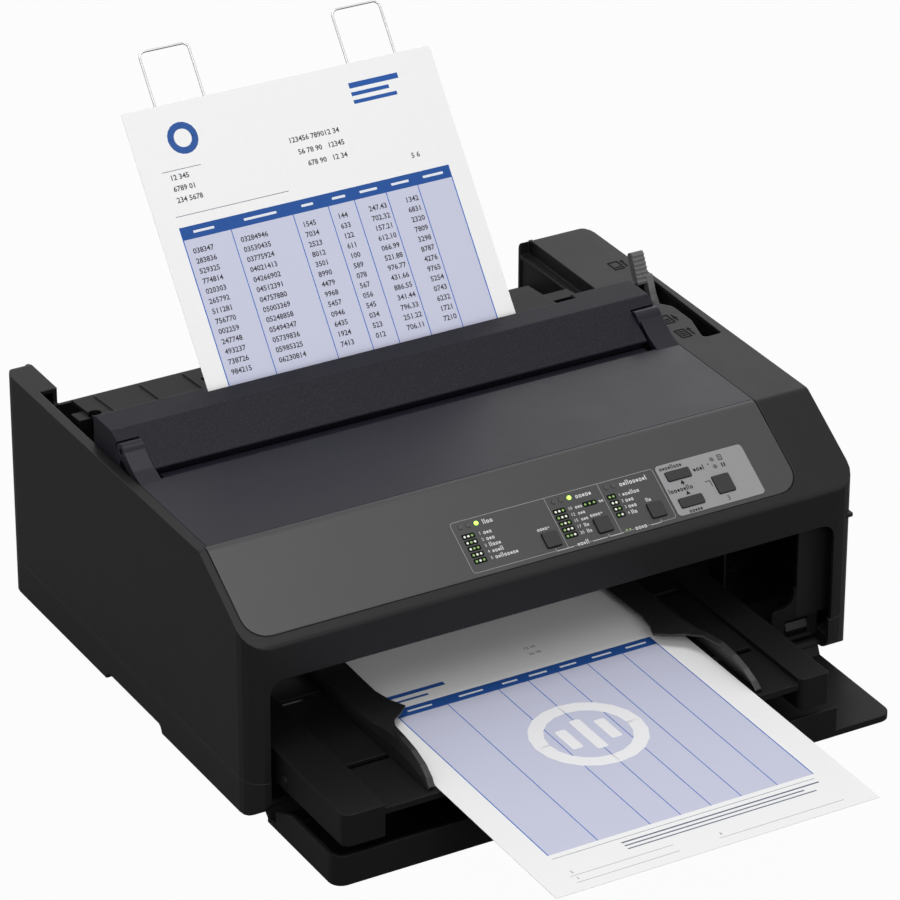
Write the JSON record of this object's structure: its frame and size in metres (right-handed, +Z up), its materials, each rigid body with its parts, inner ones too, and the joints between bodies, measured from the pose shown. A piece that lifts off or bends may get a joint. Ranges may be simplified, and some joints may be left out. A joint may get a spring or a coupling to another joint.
{
  "type": "dot matrix printer",
  "caption": "Desktop dot matrix printer with a hinged cover, open front flap with sheet guide, rear sheet guide with wire supports, and a geared platen and print carriage inside.",
  "frame": {"origin": "middle of the footprint of the whole object, on the table", "axes": "+X to the right seen from the front, +Y from the front flap to the rear, +Z up"},
  "size_m": [0.424, 0.542, 0.3334],
  "materials": {
    "case_plastic": "fine-textured charcoal moulding",
    "panel_plastic": "fine-textured dark grey moulding",
    "smoked_plastic": "satin smoked purple-grey moulding",
    "bezel_plastic": "light grey printed film",
    "button_plastic": "matt dark grey",
    "light_plastic": "mid grey moulding",
    "lamp": "clear domed lamps, two of them lit",
    "rubber": "dull black",
    "steel": "zinc-plated sheet and bright wire",
    "paper": "multi-part form with a printed table",
    "nylon": "natural acetal",
    "black_plastic": "black moulding",
    "board": "green circuit board",
    "brass": "machined"
  },
  "bodies": {
    "chassis": {"lower_case": "case_plastic", "upper_case": "case_plastic", "rubber_feet": "rubber", "control_panel": "panel_plastic", "button_bezel": "bezel_plastic", "status_lamps": "lamp", "panel_board": "board", "hood_cover": "smoked_plastic", "rear_guide_base": "case_plastic", "rear_sheet": "paper", "guide_tracks": "case_plastic", "switch_housing": "case_plastic", "left_side_frame": "steel", "right_side_frame": "steel", "platen_bushings": "nylon", "paper_feed_motor": "steel", "idler_post": "steel", "guide_rods": "steel", "carriage_rail": "steel", "ribbon_cartridge": "black_plastic", "carriage_motor": "steel", "carriage_belt": "black_plastic", "paper_chute": "case_plastic", "lever_pin": "steel", "main_board": "board", "power_supply": "steel", "power_inlet": "black_plastic", "interface_ports": "steel"},
    "cover": {"printer_cover": "smoked_plastic"},
    "flap": {"front_flap": "case_plastic"},
    "front_guide": {"front_sheet_guide": "case_plastic", "front_sheet": "paper"},
    "left_edge": {"left_edge_guide": "case_plastic"},
    "right_edge": {"right_edge_guide": "case_plastic"},
    "rear_guide": {"rear_sheet_guide": "case_plastic"},
    "left_wire": {"left_wire_support": "steel"},
    "right_wire": {"right_wire_support": "steel"},
    "font_key": {"font_button": "button_plastic"},
    "pitch_key": {"pitch_button": "button_plastic"},
    "tear_off_key": {"tear_off_button": "button_plastic"},
    "load_key": {"load_button": "button_plastic"},
    "feed_key": {"feed_button": "button_plastic"},
    "pause_key": {"pause_button": "button_plastic"},
    "rocker": {"power_rocker": "black_plastic"},
    "platen": {"platen_roller": "rubber", "platen_shaft": "steel", "platen_gear": "nylon", "platen_knob": "case_plastic"},
    "pinion": {"motor_pinion": "brass"},
    "idler": {"idler_gear": "nylon"},
    "tractor_drive": {"tractor_shaft": "steel", "tractor_gear": "nylon"},
    "tractor_l": {"left_tractor": "nylon"},
    "tractor_r": {"right_tractor": "nylon"},
    "carriage": {"print_carriage": "black_plastic", "print_head": "steel"},
    "ribbon_turn": {"ribbon_knob": "button_plastic"},
    "pulley_l": {"drive_pulley": "nylon"},
    "pulley_r": {"idler_pulley": "nylon"},
    "lever": {"release_lever": "light_plastic"}
  },
  "joints": [
    {"name": "cover_hinge", "type": "hinge", "parent": "chassis", "child": "cover", "pos_m": [-0.022, 0.10299, 0.165], "axis": [-1, 0, 0], "range_deg": [0, 95]},
    {"name": "flap_hinge", "type": "hinge", "parent": "chassis", "child": "flap", "pos_m": [-0.01, -0.05801, 0.0095], "axis": [-1, 0, 0], "range_deg": [0, 90], "deforming": ["front_sheet"]},
    {"name": "front_guide_slide", "type": "slide", "parent": "chassis", "child": "front_guide", "axis": [0, 1, 0], "range_m": [0, 0.1525]},
    {"name": "left_edge_slide", "type": "slide", "parent": "front_guide", "child": "left_edge", "axis": [-1, 0, 0], "range_m": [0, 0.025]},
    {"name": "right_edge_slide", "type": "slide", "parent": "front_guide", "child": "right_edge", "axis": [1, 0, 0], "range_m": [0, 0.0175]},
    {"name": "rear_guide_tilt", "type": "hinge", "parent": "chassis", "child": "rear_guide", "pos_m": [-0.023, 0.14999, 0.156], "axis": [-1, 0, 0], "range_deg": [0, 40]},
    {"name": "left_wire_slide", "type": "slide", "parent": "rear_guide", "child": "left_wire", "axis": [0, -0.617, -0.7869], "range_m": [0, 0.045]},
    {"name": "right_wire_slide", "type": "slide", "parent": "rear_guide", "child": "right_wire", "axis": [0, -0.617, -0.7869], "range_m": [0, 0.045]},
    {"name": "font_press", "type": "slide", "parent": "chassis", "child": "font_key", "axis": [0, 0.539, -0.8423], "range_m": [0, 0.0012], "stiffness_N_per_m": 500, "springref_m": -0.001},
    {"name": "pitch_press", "type": "slide", "parent": "chassis", "child": "pitch_key", "axis": [0, 0.539, -0.8423], "range_m": [0, 0.0012], "stiffness_N_per_m": 500, "springref_m": -0.001},
    {"name": "tear_off_press", "type": "slide", "parent": "chassis", "child": "tear_off_key", "axis": [0, 0.539, -0.8423], "range_m": [0, 0.0012], "stiffness_N_per_m": 500, "springref_m": -0.001},
    {"name": "load_press", "type": "slide", "parent": "chassis", "child": "load_key", "axis": [0, 0.539, -0.8423], "range_m": [0, 0.0012], "stiffness_N_per_m": 500, "springref_m": -0.001},
    {"name": "feed_press", "type": "slide", "parent": "chassis", "child": "feed_key", "axis": [0, 0.539, -0.8423], "range_m": [0, 0.0012], "stiffness_N_per_m": 500, "springref_m": -0.001},
    {"name": "pause_press", "type": "slide", "parent": "chassis", "child": "pause_key", "axis": [0, 0.539, -0.8423], "range_m": [0, 0.0012], "stiffness_N_per_m": 500, "springref_m": -0.001},
    {"name": "power_rock", "type": "hinge", "parent": "chassis", "child": "rocker", "pos_m": [0.165, -0.05101, 0.0222], "axis": [1, 0, 0], "range_deg": [-14, 0]},
    {"name": "platen_spin", "type": "hinge", "parent": "chassis", "child": "platen", "pos_m": [-0.022, 0.07699, 0.118], "axis": [1, 0, 0], "continuous": true},
    {"name": "pinion_spin", "type": "hinge", "parent": "chassis", "child": "pinion", "pos_m": [0.147, 0.08426, 0.09088], "axis": [1, 0, 0], "continuous": true},
    {"name": "idler_spin", "type": "hinge", "parent": "chassis", "child": "idler", "pos_m": [0.147, 0.12196, 0.10405], "axis": [1, 0, 0], "continuous": true},
    {"name": "tractor_spin", "type": "hinge", "parent": "chassis", "child": "tractor_drive", "pos_m": [-0.022, 0.16199, 0.106], "axis": [1, 0, 0], "continuous": true},
    {"name": "left_tractor_slide", "type": "slide", "parent": "chassis", "child": "tractor_l", "axis": [1, 0, 0], "range_m": [-0.04, 0.08]},
    {"name": "right_tractor_slide", "type": "slide", "parent": "chassis", "child": "tractor_r", "axis": [1, 0, 0], "range_m": [-0.085, 0.04]},
    {"name": "carriage_slide", "type": "slide", "parent": "chassis", "child": "carriage", "axis": [1, 0, 0], "range_m": [-0.105, 0.105]},
    {"name": "drive_pulley_spin", "type": "hinge", "parent": "chassis", "child": "pulley_l", "pos_m": [-0.181, 0.00199, 0.117], "axis": [0, 0, 1], "range_deg": [-1010, 1010]},
    {"name": "idler_pulley_spin", "type": "hinge", "parent": "chassis", "child": "pulley_r", "pos_m": [0.123, 0.00199, 0.117], "axis": [0, 0, 1], "range_deg": [-1010, 1010]},
    {"name": "ribbon_knob_spin", "type": "hinge", "parent": "chassis", "child": "ribbon_turn", "pos_m": [-0.067, 0.00899, 0.148], "axis": [0, 0, 1], "continuous": true},
    {"name": "lever_swing", "type": "hinge", "parent": "chassis", "child": "lever", "pos_m": [0.189, 0.11199, 0.07], "axis": [1, 0, 0], "range_deg": [0, 36]}
  ],
  "couplings": [
    {"joint": "front_guide_slide", "follows": "flap_hinge", "m_per_rad": 0.096766},
    {"joint": "pinion_spin", "follows": "platen_spin", "ratio": -3},
    {"joint": "idler_spin", "follows": "platen_spin", "ratio": -0.80769},
    {"joint": "tractor_spin", "follows": "platen_spin", "ratio": 1.5},
    {"joint": "drive_pulley_spin", "follows": "carriage_slide", "rad_per_m": -166.67},
    {"joint": "idler_pulley_spin", "follows": "carriage_slide", "rad_per_m": -166.67}
  ]
}
